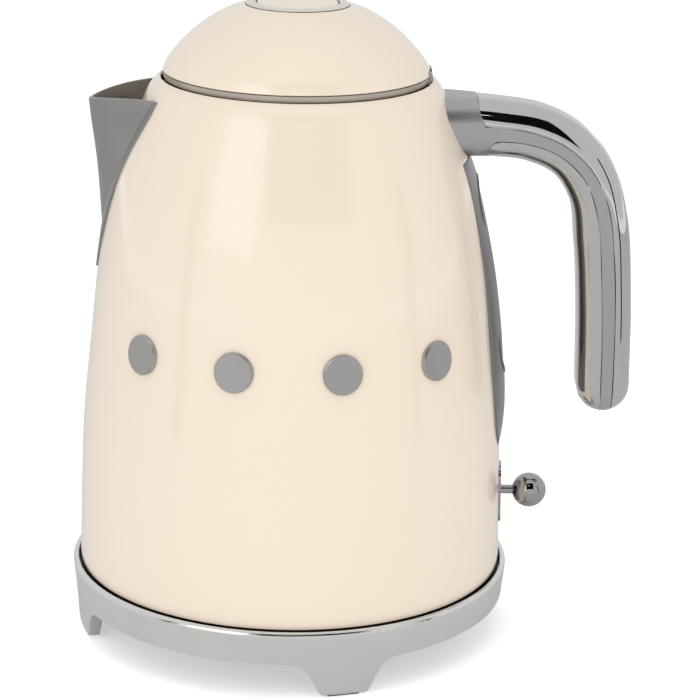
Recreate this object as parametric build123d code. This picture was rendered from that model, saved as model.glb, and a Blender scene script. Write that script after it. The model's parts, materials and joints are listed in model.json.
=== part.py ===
"""Cordless electric kettle on its 360 degree power base, as an assembly of separate pieces.

Frame: millimetres, +Z up, origin on the table under the kettle's vertical axis.
+X points to the handle, -X to the spout. Every piece is written in its resting place.
"""

from build123d import *
from math import hypot, sqrt
import os

# ---------------------------------------------------------------- driving dimensions
BASE_RADIUS = 86.0          # power base, outside of its metal skirt
TOTAL_HEIGHT = 248.0        # table to the top of the lid button
WALL = 1.0                  # painted steel of body and lid
FIT = 0.05                  # running clearance of a pin in its hole
GAP = 0.3                   # clearance between pieces that move apart
SEAM = 0.25                 # open joint line between the handle mouldings
SCREW_RADIUS = 1.5
SCREW_HOLE = 1.6

SEAT_Z = 25.0               # top of the base plate, where the kettle stands
HEM_Z = 28.3                # lowest edge of the painted body
FLOOR_Z = 66.0              # underside of the heated floor
LID_Z = 218.7               # seam between body and lid
MOUTH_RADIUS = 50.75        # filling mouth in the body, under the lid

# Body outline, (radius, height) from the hem to the shoulder at the lid seam.
BODY_OUTLINE = [
    (83.1, 30.0), (82.6, 52.0), (81.5, 84.0), (78.5, 116.0), (73.9, 156.0),
    (67.7, 185.0), (59.7, 206.0), (55.6, 215.0), (53.1, 218.0), (51.6, 218.9),
]
# Lid outline, from its edge above the seam band to the button.
LID_OUTLINE = [
    (50.9, 221.7), (49.8, 224.0), (45.3, 230.0), (39.25, 236.0), (33.9, 240.0),
    (26.8, 244.0), (19.8, 246.4),
]

# Power base
BASE_TURN = 15.8           # degrees the base is turned under the kettle
FOOT_ANGLES = [BASE_TURN + 90 * i for i in range(4)]
PAD_HEIGHT = 0.6
CENTRE_BOSS_RADIUS = 9.0
ARCH_Z = 14.2               # lower edge of the skirt between the feet
BASE_FLOOR_Z = 12.8
BASE_PLATE_Z = 22.0
BASE_SCREW_RADIUS = 68.0
CORD_BORE_RADIUS = 3.6
CORD_SPOT = Rot(0, 0, BASE_TURN + 135) * Pos(60, 0, 0)
TOWER_RADIUS = 15.0
TOWER_TOP = 37.0
EARTH_RING = (11.7, 10.9)
NEUTRAL_RING = (7.3, 6.5)
LIVE_PIN_RADIUS = 1.7

# Kettle underside
CONNECTOR_BORE = 15.6
CONNECTOR_RADIUS = 18.8
BOTTOM_SCREW_SPOTS = [Rot(0, 0, 60 + 120 * i) * Pos(74.5, 0, 0) for i in range(3)]
ELEMENT_RADIUS = 41.0
SHEATH_RADIUS = 3.4
STEAM_SPOT = Rot(0, 0, 15) * Pos(62, 0, 0)

# Spout: half-width on the body, (half-width, height), and front edge, (x, height).
SPOUT_FLANGE = [
    (26.0, 216.0), (25.0, 205.0), (22.6, 195.5), (20.2, 187.0), (16.9, 176.5), (12.6, 163.0),
    (7.4, 150.0), (4.4, 144.0),
]
SPOUT_KEEL = [
    (-79.6, 216.0), (-78.8, 208.9), (-77.4, 197.8), (-75.9, 186.2), (-74.8, 173.0),
    (-74.0, 157.0), (-73.6, 146.0), (-73.5, 144.0),
]
SPOUT_LEVELS = [146.0, 157.0, 166.0, 176.5, 187.0, 195.5, 205.0, 216.0]
SPOUT_WALL = 1.3
SPOUT_FOLD = 2.0            # width of the flange that lies on the body

# Filter behind the spout
FILTER_LEAN = 18.0
FILTER_PLACE = Pos(-60.2, 0, 187.0) * Rot(0, FILTER_LEAN, 0)
FILTER_HALF_WIDTH = 15.5
FILTER_HALF_HEIGHT = 14.0

# Handle, side outlines in the plane y = 0, (x, height)
HANDLE_HALF_WIDTH = 12.6
HANDLE_ROUND = 8.6
HANDLE_OUTER = [
    (50.0, 214.0), (77.7, 212.2), (93.0, 209.9), (106.4, 204.0), (115.6, 196.0), (122.7, 184.8),
    (127.2, 169.2), (130.4, 138.0), (131.5, 100.3),
]
HANDLE_INNER = [
    (110.7, 100.3), (109.6, 133.7), (107.6, 157.5), (104.8, 174.5), (98.6, 184.0), (88.0, 189.0),
    (74.5, 190.5), (50.0, 191.0),
]
HANDLE_TIP = (121.1, 89.8)
COVER_SEAM = [
    (71.6, 203.2), (88.7, 201.3), (102.6, 195.8), (112.0, 187.4), (118.6, 174.9), (122.2, 154.3),
    (124.0, 124.0), (124.3, 84.0),
]
GRIP_SEAM = [
    (77.6, 197.8), (86.0, 197.3), (100.4, 192.4), (110.2, 183.0), (115.2, 170.0), (118.0, 146.0),
    (119.4, 122.0), (119.9, 84.0),
]
HANDLE_SCREWS = [(-7.0, 202.0), (7.0, 202.0)]
BRACKET_FACE = 55.5

# Water gauge under the handle: its ridge line, (x, height)
GAUGE_RIDGE = [
    (79.9, 69.0), (81.9, 76.5), (83.1, 84.0), (83.5, 92.0), (82.9, 105.2), (81.6, 121.3),
    (79.6, 137.2), (76.8, 153.1), (73.2, 168.8), (69.9, 181.0), (66.1, 191.0),
]
GAUGE_HALF_WIDTH = 19.4
GAUGE_ENDS = (72.0, 190.3)
WINDOW_HALF_WIDTH = 7.6
WINDOW_ENDS = (103.0, 181.0)

# Switch
LEVER_Z = 54.2
LEVER_PIVOT_X = 73.0
LEVER_ARM = 12.5
ROCKER_PIVOT = (48.0, 47.6)
PIN_RADIUS = 1.0

# Lid
HINGE_X = 49.4
HINGE_Z = 220.9
HINGE_PIN_RADIUS = 0.9
KNUCKLE_RADIUS = 1.9
KNUCKLE_SPLIT = 3.8         # half-width of the lid's own knuckle
HINGE_HALF_WIDTH = 8.6
BUTTON_RADIUS = 15.4
PLUNGER_RADIUS = 3.2
LATCH_HALF_WIDTH = 4.0
LINER_RADIUS = 45.4

# Trim studs across the front
STUD_ANGLES = [-90 + 29.4 * (i - 1.5) for i in range(4)]
STUD_Z = 124.6
STUD_RADIUS = 7.4


# ---------------------------------------------------------------- helpers
def write(name, shape):
    """Writes one node, with its solids side by side."""
    items = shape if isinstance(shape, list) else [shape]
    solids = [solid for item in items for solid in item.solids()]
    whole = Compound(children=solids) if len(solids) > 1 else solids[0]
    export_step(whole, f"parts/{name}.step")


def largest(shape):
    """The biggest solid of a shape, without the crumbs that a cut leaves."""
    return max(shape.solids(), key=lambda solid: solid.volume)


def value_at(points, height):
    """First coordinate of an outline at a height, by straight interpolation."""
    for (v0, z0), (v1, z1) in zip(points, points[1:]):
        if min(z0, z1) <= height <= max(z0, z1):
            return v0 + (v1 - v0) * (height - z0) / (z1 - z0)
    raise ValueError(f"height {height} is outside the outline")


def inward(points, distance):
    """An outline moved towards the axis, square to itself."""
    moved = []
    for index, (radius, height) in enumerate(points):
        before = points[max(index - 1, 0)]
        after = points[min(index + 1, len(points) - 1)]
        run = after[0] - before[0]
        rise = after[1] - before[1]
        length = hypot(run, rise)
        moved.append((radius - distance * rise / length, height + distance * run / length))
    return moved


def curve_xz(points):
    """A smooth curve through (x, z) points in the plane y = 0."""
    return Spline(*[(x, 0, z) for x, z in points])


def line_xz(*points):
    """Straight edges through (x, z) points in the plane y = 0."""
    return Polyline(*[(x, 0, z) for x, z in points])


def arc_xz(*points):
    """An arc through three (x, z) points in the plane y = 0."""
    return ThreePointArc(*[(x, 0, z) for x, z in points])


def face_xz(*pieces):
    """A face bounded by curves that follow each other, in the plane y = 0."""
    return make_face(Wire([edge for piece in pieces for edge in piece.edges()]))


def turned(*points):
    """A solid turned about the kettle's axis from a closed (radius, height) polygon."""
    return revolve(make_face(Polyline(*[(r, 0, z) for r, z in points], close=True)), Axis.Z)


def ring(outer, inner, low, high):
    """A plain ring about the kettle's axis."""
    return turned((inner, low), (outer, low), (outer, high), (inner, high))


def rod(start, end, radius):
    """A round bar between two points."""
    span = Vector(*end) - Vector(*start)
    return extrude(Plane(origin=start, z_dir=span.normalized()) * Circle(radius), span.length)


def cross_rod(x, z, half_width, radius):
    """A round bar across the kettle, along Y."""
    return rod((x, -half_width, z), (x, half_width, z), radius)


def post(radius, low, high):
    """An upright cylinder on the axis, between two heights."""
    return Pos(0, 0, (low + high) / 2) * Cylinder(radius, high - low)


def block(low, high):
    """A rectangular block between two opposite corners."""
    size = [b - a for a, b in zip(low, high)]
    centre = [(a + b) / 2 for a, b in zip(low, high)]
    return Pos(*centre) * Box(*size)


def both_ways(face, half_width):
    """A face in the plane y = 0 thickened to both sides."""
    return extrude(face, half_width, dir=(0, 1, 0), both=True)


def pair(shape):
    """A shape and its mirror image on the other side of the plane y = 0."""
    return shape + mirror(shape, Plane.XZ)


def screw(low, high, head_radius=2.9, head_height=2.0):
    """A slotted pan-head screw on the axis, head down."""
    head = post(head_radius, low, low + head_height)
    slot = block((-2.0, -0.4, low - 0.1), (2.0, 0.4, low + 0.8))
    return head + post(SCREW_RADIUS, low + head_height, high) - slot


def body_envelope(inset):
    """Everything inside the body's outer surface, moved inwards by inset."""
    points = inward(BODY_OUTLINE, inset)
    bottom = points[0]
    top = points[-1]
    close = line_xz(top, (0, top[1]), (0, bottom[1]), bottom)
    return revolve(face_xz(curve_xz(points), close), Axis.Z)


BODY_SOLID = body_envelope(0)
BODY_INSIDE = body_envelope(WALL)


# ---------------------------------------------------------------- power base
def make_base_skirt():
    """Cast metal skirt with a rolled lip and four feet that grow out of its lower edge."""
    rim = face_xz(
        line_xz((84.9, ARCH_Z), (BASE_RADIUS, 24.9)),
        arc_xz((BASE_RADIUS, 24.9), (85.6, 26.7), (84.6, 27.3)),
        arc_xz((84.6, 27.3), (83.9, 27.0), (83.7, 26.2)),
        line_xz((83.7, 26.2), (82.8, ARCH_Z), (84.9, ARCH_Z)),
    )
    band = face_xz(
        line_xz((84.95, ARCH_Z + 0.5), (83.9, 2.2)),
        arc_xz((83.9, 2.2), (83.45, 1.05), (82.4, PAD_HEIGHT)),
        line_xz((82.4, PAD_HEIGHT), (79.5, PAD_HEIGHT), (79.5, 13.0), (82.8, ARCH_Z + 0.5),
                (84.95, ARCH_Z + 0.5)),
    )
    outline = make_face(Polyline(
        (24, ARCH_Z + 2), (24, ARCH_Z), (15.9, ARCH_Z), (8.8, PAD_HEIGHT),
        (-8.8, PAD_HEIGHT), (-15.9, ARCH_Z), (-24, ARCH_Z), (-24, ARCH_Z + 2), close=True,
    ))
    arches = [corner for corner in outline.vertices() if abs(abs(corner.X) - 15.9) < 0.1]
    outline = fillet(arches, 9.5)
    toes = [corner for corner in outline.vertices() if corner.Y < PAD_HEIGHT + 0.1]
    outline = fillet(toes, 3.0)
    blade = extrude(Plane((70, 0, 0), x_dir=(0, 1, 0), z_dir=(1, 0, 0)) * outline, 20)
    foot = revolve(band, Axis.Z) & blade
    skirt = revolve(rim, Axis.Z) + ring(83.3, 80.5, 19.4, BASE_PLATE_Z)
    for angle in FOOT_ANGLES:
        skirt = skirt + Rot(0, 0, angle) * foot
    return skirt


def make_foot_pads():
    """Rubber pads under the feet and under the boss in the middle."""
    pad = block((79.8, -6.0, 0), (82.2, 6.0, PAD_HEIGHT))
    pads = [Rot(0, 0, angle) * pad for angle in FOOT_ANGLES]
    return pads + [post(CENTRE_BOSS_RADIUS - 1.0, 0, PAD_HEIGHT)]


def base_screw_spots():
    """Places of the screws that hold the base together."""
    return [Rot(0, 0, angle) * Pos(BASE_SCREW_RADIUS, 0, 0) for angle in FOOT_ANGLES]


def make_base_top_plate():
    """Moulded plate that the kettle stands on, with drain holes."""
    plate = turned(
        (19.9, BASE_PLATE_Z), (83.0, BASE_PLATE_Z), (83.0, 23.6), (79.0, 23.6), (77.5, SEAT_Z),
        (21.6, SEAT_Z), (21.6, 24.0), (19.9, 24.0),
    )
    for angle in (30, 150, 270):
        plate = plate - Rot(0, 0, angle) * Pos(50, 0, 0) * post(2.2, 20, 26)
    return plate


def make_base_bottom_cover():
    """Moulded floor of the base."""
    floor = turned(
        (0, BASE_FLOOR_Z), (79.2, BASE_FLOOR_Z), (79.2, 21.9), (77.6, 21.9),
        (77.6, BASE_FLOOR_Z + 1.2), (0, BASE_FLOOR_Z + 1.2),
    )
    for spot in base_screw_spots():
        floor = floor + spot * post(4.0, BASE_FLOOR_Z, 21.9)
        floor = floor - spot * post(SCREW_HOLE, BASE_FLOOR_Z - 1, 22.5)
        floor = floor - spot * post(3.1, BASE_FLOOR_Z - 1, BASE_FLOOR_Z + 2.2)
    return floor - CORD_SPOT * post(5.2, BASE_FLOOR_Z - 1, BASE_FLOOR_Z + 2)


def make_cord_drum():
    """Drum under the base floor to wind the cord on, with four tabs and a boss to stand on."""
    drum = turned(
        (0, PAD_HEIGHT), (CENTRE_BOSS_RADIUS, PAD_HEIGHT), (CENTRE_BOSS_RADIUS, 11.6),
        (40.4, 11.6), (40.4, 4.6), (42.0, 4.6), (42.0, BASE_FLOOR_Z), (0, BASE_FLOOR_Z),
    )
    for angle in FOOT_ANGLES:
        drum = drum + Rot(0, 0, angle + 45) * block((41.0, -9.0, 4.6), (48.0, 9.0, 5.8))
    return drum


def make_base_screws():
    """Screws up through the base floor."""
    return [spot * screw(BASE_FLOOR_Z + 0.15, 21.8) for spot in base_screw_spots()]


def make_cord_grommet():
    """Bushing in the base floor for the supply cord."""
    sleeve = post(5.15, 12.0, 20.2) + post(6.8, 11.6, BASE_FLOOR_Z - 0.02)
    collar = post(6.8, BASE_FLOOR_Z + 1.22, BASE_FLOOR_Z + 2.4)
    return CORD_SPOT * (sleeve + collar - post(CORD_BORE_RADIUS, 10, 22))


def make_cord_clamp():
    """Saddle and bar that grip the cord inside the base."""
    saddle = block((-14.0, -9.0, 14.02), (-8.5, 9.0, 15.2))
    saddle = saddle + pair(block((-14.0, 4.6, 15.0), (-8.5, 8.4, 19.0)))
    bar = block((-14.0, -8.4, 19.02), (-8.5, 8.4, 20.8))
    return [CORD_SPOT * saddle, CORD_SPOT * bar]


def make_base_connector():
    """Connector tower with grooves for the kettle's rings and pin."""
    grooves = [
        (12.6, TOWER_TOP), (12.6, 17.0), (10.0, 17.0), (10.0, TOWER_TOP), (8.2, TOWER_TOP),
        (8.2, 17.0), (5.6, 17.0), (5.6, TOWER_TOP), (2.6, TOWER_TOP), (2.6, 17.0), (0, 17.0),
    ]
    return turned(
        (0, 14.05), (18.5, 14.05), (18.5, 21.8), (19.7, 21.8), (19.7, 23.8), (TOWER_RADIUS, 23.8),
        (TOWER_RADIUS, TOWER_TOP - 1.0), (TOWER_RADIUS - 1.0, TOWER_TOP), *grooves,
    )


def make_base_contacts():
    """Sprung contact blades at the bottom of the connector's grooves."""
    return [block((x, -0.8, 17.0), (x + 0.5, 0.8, 20.4)) for x in (1.2, 6.6, 11.0)]


def make_locating_collar():
    """Loose ring round the tower that centres the kettle and turns with it."""
    return turned((15.4, 24.1), (19.5, 24.1), (19.5, 25.2), (18.2, 26.6), (15.4, 26.6))


# ---------------------------------------------------------------- kettle body
def spout_section(height, inset):
    """Closed beak-shaped section of the spout at one height."""
    half = value_at(SPOUT_FLANGE, height) - SPOUT_FOLD - inset
    tip = value_at(SPOUT_KEEL, height) + 1.4 * inset
    root = -sqrt(value_at(BODY_OUTLINE, height) ** 2 - half ** 2)
    reach = root - tip
    blunt = 0.05 * half
    sides = [
        Spline(
            (tip, sign * blunt, height),
            (tip + 0.18 * reach, sign * 0.35 * half, height),
            (tip + 0.47 * reach, sign * 0.64 * half, height),
            (root, sign * half, height),
        )
        for sign in (1, -1)
    ]
    nose = Line(sides[1] @ 0, sides[0] @ 0)
    back = Polyline(sides[0] @ 1, (root + 9, 0.8 * half, height), (root + 9, -0.8 * half, height),
                    sides[1] @ 1)
    return make_face(Wire([nose, *sides[0].edges(), *back.edges(), *sides[1].edges()]))


def spout_solid(inset, levels):
    """Solid beak through a list of heights."""
    return loft([spout_section(height, inset) for height in levels])


def flange_zone():
    """Everything behind the outer edge of the spout's flange, seen from the front."""
    side = Spline(*[(half, height) for half, height in SPOUT_FLANGE])
    other = mirror(side, Plane.YZ)
    low = Line(side @ 1, other @ 1)
    top = Line(other @ 0, side @ 0)
    face = make_face(Wire([*side.edges(), *low.edges(), *other.edges(), *top.edges()]))
    return extrude(Plane((-90, 0, 0), x_dir=(0, 1, 0), z_dir=(1, 0, 0)) * face, 60)


def rim_cutter():
    """Everything above the spout's gently arched rim."""
    rim = curve_xz([(-84.0, 206.6), (-78.8, 208.9), (-70.5, 211.1), (-62.0, 212.3), (-36.0, 212.6)])
    sky = line_xz((-36.0, 212.6), (-36, 240), (-84, 240), (-84.0, 206.6))
    return both_ways(face_xz(rim, sky), 40)


def spout_opening():
    """Hole in the body wall behind the spout."""
    mouth = block((-90, -15.0, 172.0), (-40, 15.0, 205.0))
    return spout_solid(SPOUT_WALL, SPOUT_LEVELS[2:]) & mouth


def make_spout():
    """Metal beak with a flange that lies on the painted body."""
    skin = body_envelope(-0.9) - BODY_SOLID
    beak = spout_solid(0, SPOUT_LEVELS) - BODY_SOLID + (skin & flange_zone())
    beak = beak - spout_solid(SPOUT_WALL, SPOUT_LEVELS[2:]) - rim_cutter()
    return largest(beak)


def make_trim_studs():
    """Four plain metal studs spaced across the front, bonded to the body."""
    disc = rod((70, 0, STUD_Z), (90, 0, STUD_Z), STUD_RADIUS)
    cap = (body_envelope(-1.6) - body_envelope(-FIT)) & disc
    crown = max(cap.faces(), key=lambda face: face.center().X)
    stud = chamfer(crown.edges(), 0.5)
    return [Rot(0, 0, angle) * stud for angle in STUD_ANGLES]


def upright_slot(half_width, ends):
    """A slot with round ends seen from the handle side, cut through the rear wall."""
    low, high = ends
    shape = Pos(0, (low + high) / 2) * SlotOverall(high - low, 2 * half_width, rotation=90)
    return extrude(Plane((50, 0, 0), x_dir=(0, 1, 0), z_dir=(1, 0, 0)) * shape, 50)


def narrower(ends, inset):
    """Slot ends moved towards each other."""
    return (ends[0] + inset, ends[1] - inset)


def gauge_hole(inset):
    """Slot in the body wall behind the gauge, or a plug that is smaller by an inset."""
    return upright_slot(WINDOW_HALF_WIDTH - 1.4 - inset, narrower(WINDOW_ENDS, 1.4 + inset))


def lever_slot():
    """Opening in the wall and in the switch plate for the lever's stem."""
    return block((70, -2.4, LEVER_Z - 6.0), (95, 2.4, LEVER_Z + 3.2))


def make_body_shell():
    """Painted steel body with its rolled mouth, rolled hem and openings."""
    inner = inward(BODY_OUTLINE, WALL)
    lip = (MOUTH_RADIUS, inner[-1][1] + 0.35)
    shell = revolve(face_xz(
        curve_xz(BODY_OUTLINE),
        arc_xz(BODY_OUTLINE[-1], (51.0, 218.85), lip),
        line_xz(lip, (MOUTH_RADIUS, inner[-1][1] - 0.1), inner[-1]),
        curve_xz(list(reversed(inner))),
        line_xz(inner[0], (82.0, HEM_Z + 0.5)),
        arc_xz((82.0, HEM_Z + 0.5), (82.5, HEM_Z), (83.0, HEM_Z + 0.5)),
        line_xz((83.0, HEM_Z + 0.5), BODY_OUTLINE[0]),
    ), Axis.Z)
    shell = shell - spout_opening() - gauge_hole(0) - lever_slot()
    for y, z in HANDLE_SCREWS:
        shell = shell - rod((40, y, z), (80, y, z), SCREW_HOLE)
    return largest(shell)


def make_mouth_ring():
    """Steel neck inside the mouth, with the hinge's fixed knuckles at the back."""
    neck = turned(
        (48.5, 206.0), (49.5, 206.0), (49.5, 215.2), (51.3, 216.2), (51.3, 217.3), (48.5, 217.3),
    )
    neck = neck - block((-52.0, -5.2, 214.6), (-46.0, 5.2, 219.0))
    seat = block((47.7, -HINGE_HALF_WIDTH, 216.6), (49.8, HINGE_HALF_WIDTH, HINGE_Z))
    barrel = cross_rod(HINGE_X, HINGE_Z, HINGE_HALF_WIDTH, KNUCKLE_RADIUS)
    middle = block((40, -KNUCKLE_SPLIT - GAP, 217.3), (55, KNUCKLE_SPLIT + GAP, 225))
    ears = seat + barrel - middle
    return neck + ears - cross_rod(HINGE_X, HINGE_Z, 12, HINGE_PIN_RADIUS + 0.01)


def make_hinge_pin():
    """Pin of the lid hinge."""
    return cross_rod(HINGE_X, HINGE_Z, HINGE_HALF_WIDTH - 0.1, HINGE_PIN_RADIUS)


def make_filter_rails():
    """Channels and sill that hold the filter against the body wall."""
    edge = FILTER_HALF_WIDTH + GAP
    web = block((-9.0, edge, -17.0), (2.6, edge + 1.2, 12.5))
    front = block((-2.6, edge - 1.8, -17.0), (-1.4, edge + 0.2, 12.5))
    back = block((1.4, edge - 1.8, -17.0), (2.6, edge + 0.2, 12.5))
    sill = block((-2.6, -edge, -17.0), (2.6, edge, -15.9))
    return largest(FILTER_PLACE * (pair(web + front + back) + sill) & BODY_INSIDE)


def make_filter_frame():
    """Frame of the removable filter, with a middle bar and a finger tab."""
    low = -FILTER_HALF_HEIGHT - 1.5
    high = FILTER_HALF_HEIGHT - 1.5
    outer = block((-1.0, -FILTER_HALF_WIDTH, low), (1.0, FILTER_HALF_WIDTH, high))
    window = block((-2, -12.5, low + 2.6), (2, 12.5, high - 2.6))
    bar = block((-0.9, -0.8, low + 2), (0.9, 0.8, high - 2))
    tab = block((0.0, -5.0, high - 1.6), (4.4, 5.0, high))
    return FILTER_PLACE * (outer - window + bar + tab)


def make_filter_mesh():
    """Two panes of fine mesh in the filter frame."""
    low = -FILTER_HALF_HEIGHT + 1.1
    high = FILTER_HALF_HEIGHT - 4.1
    panes = [block((-0.25, side, low), (0.25, side + 11.7, high)) for side in (-12.5, 0.8)]
    return [FILTER_PLACE * pane for pane in panes]


# ---------------------------------------------------------------- floor, heater and connector
def make_heated_floor():
    """Steel floor of the water space."""
    floor = turned(
        (0, FLOOR_Z), (79.0, FLOOR_Z), (79.0, 58.0), (79.9, 58.0), (79.9, FLOOR_Z + 0.8),
        (0, FLOOR_Z + 0.8),
    )
    return floor - STEAM_SPOT * post(5.0, FLOOR_Z - 1, FLOOR_Z + 2)


def make_floor_seal():
    """Rubber ring between floor and body."""
    return ring(80.85, 79.95, 58.5, FLOOR_Z + 0.5)


def make_heat_spreader():
    """Aluminium disc under the floor."""
    return post(51.0, FLOOR_Z - 3.0, FLOOR_Z - 0.05)


def make_heating_element():
    """Sheathed element bent round under the spreader, with two cold tails."""
    level = FLOOR_Z - 3.05 - SHEATH_RADIUS
    section = Plane.XZ * Pos(ELEMENT_RADIUS, level) * Circle(SHEATH_RADIUS)
    loop = Rot(0, 0, 210) * revolve(section, Axis.Z, 300)
    for angle in (207, 153):
        loop = loop + Rot(0, 0, angle) * Pos(ELEMENT_RADIUS, 0, 0) * post(2.2, level - 8.0, level)
    return loop


def make_control_body():
    """Thermostat moulding above the connector, with ears for the switch lever and rocker."""
    body = turned((0, 41.2), (24.0, 41.2), (24.0, 49.0), (12.5, 49.0), (12.5, 62.0), (0, 62.0))
    body = body + block((20.0, -8.6, 41.2), (76.0, 8.6, 43.4))
    pivot_x, pivot_z = ROCKER_PIVOT
    near = block((pivot_x - 2.2, 3.4, 43.0), (pivot_x + 2.2, 5.0, 50.0))
    far = block((LEVER_PIVOT_X - 2.6, 4.9, 43.0), (LEVER_PIVOT_X + 2.6, 6.5, 57.0))
    body = body + pair(near) + pair(far)
    body = body - cross_rod(pivot_x, pivot_z, 9, PIN_RADIUS + 0.01)
    return body - cross_rod(LEVER_PIVOT_X, LEVER_Z, 9, PIN_RADIUS + 0.01)


def make_pivot_pins():
    """Pins of the rocker and of the switch lever."""
    return [
        cross_rod(*ROCKER_PIVOT, 5.0, PIN_RADIUS),
        cross_rod(LEVER_PIVOT_X, LEVER_Z, 6.5, PIN_RADIUS),
    ]


def make_bimetal_disc():
    """Snap disc that senses the floor's temperature."""
    return turned((0, 62.25), (9.4, 62.02), (9.4, 62.42), (0, 62.65))


def make_kettle_connector():
    """Moulded socket under the kettle that drops over the base's tower."""
    housing = turned(
        (CONNECTOR_BORE, 27.4), (CONNECTOR_RADIUS, 27.4), (CONNECTOR_RADIUS, 33.0), (21.5, 33.0),
        (21.5, 35.0), (CONNECTOR_RADIUS, 35.0), (CONNECTOR_RADIUS, 41.1), (0, 41.1), (0, 38.2),
        (CONNECTOR_BORE, 38.2),
    )
    for outer, inner in (EARTH_RING, NEUTRAL_RING):
        housing = housing - ring(outer + 0.02, inner - 0.02, 37, 40.9)
    return housing - post(LIVE_PIN_RADIUS + 0.02, 30, 40.9)


def make_contact_rings():
    """Earth ring, neutral ring and live pin of the kettle's socket."""
    pin = turned((0, 21.0), (1.0, 21.4), (LIVE_PIN_RADIUS, 22.6), (LIVE_PIN_RADIUS, 40.8), (0, 40.8))
    return [ring(*EARTH_RING, 21.5, 40.8), ring(*NEUTRAL_RING, 21.5, 40.8), pin]


def make_bottom_cover():
    """Moulded underside of the kettle, with the rib that it stands on."""
    cover = turned(
        (19.2, 27.6), (67.0, 27.6), (67.0, SEAT_Z + GAP), (71.0, SEAT_Z + GAP), (71.0, 27.6),
        (78.6, 27.6), (81.7, 29.6), (81.7, 38.0), (80.3, 38.0), (80.3, 30.2), (22.0, 30.2),
        (22.0, 32.95), (19.2, 32.95),
    )
    for spot in BOTTOM_SCREW_SPOTS:
        cover = cover + spot * post(3.6, 29.0, 43.0)
        cover = cover - spot * post(SCREW_HOLE, 20, 50)
        cover = cover - spot * post(3.1, 20, 29.8)
    return cover


def make_bottom_screws():
    """Screws up into the kettle."""
    return [spot * screw(27.75, 42.5) for spot in BOTTOM_SCREW_SPOTS]


def make_steam_tube():
    """Tube that leads steam from under the lid down to the thermostat."""
    pipe = post(3.5, 44.0, 183.0) - post(2.7, 43.0, 181.8)
    inlet = block((-9, -1.8, 174.0), (0, 1.8, 180.0))
    return STEAM_SPOT * (pipe - inlet)


def make_steam_tube_seal():
    """Grommet of the steam tube in the floor."""
    bush = post(4.95, FLOOR_Z - 0.6, FLOOR_Z + 1.2) + post(6.3, FLOOR_Z + 0.85, FLOOR_Z + 2.6)
    return STEAM_SPOT * (bush - post(3.52, FLOOR_Z - 5, FLOOR_Z + 5))


# ---------------------------------------------------------------- water gauge and handle
def gauge_section(x, height):
    """One level of the gauge: a shallow arch that stands a little proud at its sides too."""
    half = GAUGE_HALF_WIDTH + 1.6
    wall = value_at(BODY_OUTLINE, height)
    side_x = sqrt(wall ** 2 - half ** 2) + 0.3 * (x - wall)
    arch = ThreePointArc((side_x, -half, height), (x, 0, height), (side_x, half, height))
    rest = Polyline(arch @ 1, (45, half, height), (45, -half, height), arch @ 0)
    return make_face(Wire([*arch.edges(), *rest.edges()]))


def gauge_bulk(lower):
    """Arched bar along the gauge's ridge, lowered by a little."""
    return loft([gauge_section(x - lower, z) for x, z in GAUGE_RIDGE])


def make_gauge_frame():
    """Metal surround of the water gauge, shaped to the body."""
    outline = upright_slot(GAUGE_HALF_WIDTH, (GAUGE_ENDS[0], GAUGE_ENDS[1] + GAUGE_HALF_WIDTH))
    frame = gauge_bulk(0) & outline & block((40, -30, 60), (100, 30, GAUGE_ENDS[1]))
    frame = frame - body_envelope(-FIT)
    return largest(frame - upright_slot(WINDOW_HALF_WIDTH, WINDOW_ENDS))


def make_gauge_window():
    """Clear window with a step through the wall to the water."""
    pane = gauge_bulk(0.7) & upright_slot(WINDOW_HALF_WIDTH - 0.1, narrower(WINDOW_ENDS, 0.1))
    pane = pane - body_envelope(-FIT)
    plug = body_envelope(-0.3) & gauge_hole(0.45)
    plug = plug - body_envelope(WALL + 0.6)
    return largest(pane + plug)


def make_gauge_seal():
    """Rubber liner of the gauge's slot in the wall."""
    band = BODY_SOLID - body_envelope(WALL + 0.4)
    return largest(band & (gauge_hole(0) - gauge_hole(0.4)))


def handle_blank():
    """The whole handle as one rounded bar, before it is split into mouldings."""
    outer = curve_xz(HANDLE_OUTER)
    inner = curve_xz(HANDLE_INNER)
    tip = arc_xz(HANDLE_OUTER[-1], HANDLE_TIP, HANDLE_INNER[0])
    root = line_xz(HANDLE_INNER[-1], HANDLE_OUTER[0])
    bar = both_ways(face_xz(outer, tip, inner, root), HANDLE_HALF_WIDTH)
    rims = [
        edge for edge in bar.edges()
        if abs(abs(edge.center().Y) - HANDLE_HALF_WIDTH) < 0.01 and edge.center().X > 51
    ]
    return fillet(rims, HANDLE_ROUND)


def cover_zone(offset):
    """Space of the outer cover, its edge moved outwards by an offset."""
    seam = inward(COVER_SEAM, offset)
    end_x, end_z = seam[-1]
    edge = line_xz((end_x, end_z), (145, end_z), (145, 225), (66.0 + offset, 225),
                   (69.2 + offset, 209.0), seam[0])
    return both_ways(face_xz(curve_xz(seam), edge), 20)


def grip_zone(offset):
    """Space of the inner grip, its edge moved inwards by an offset."""
    seam = inward(GRIP_SEAM, -offset)
    nose = arc_xz((73.4 + offset, 193.8), (74.6 + 0.7 * offset, 196.7 - 0.7 * offset), seam[0])
    end_x, end_z = seam[-1]
    edge = line_xz((end_x, end_z), (95, end_z), (95, 150), (73.4 + offset, 186),
                   (73.4 + offset, 193.8))
    return both_ways(face_xz(nose, curve_xz(seam), edge), 20)


def neck_section(x, half_width, height):
    """Rounded section of the handle's neck."""
    plane = Plane((x, 0, 202.0), x_dir=(0, 1, 0), z_dir=(1, 0, 0))
    return plane * RectangleRounded(2 * half_width, height, 0.42 * height)


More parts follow.
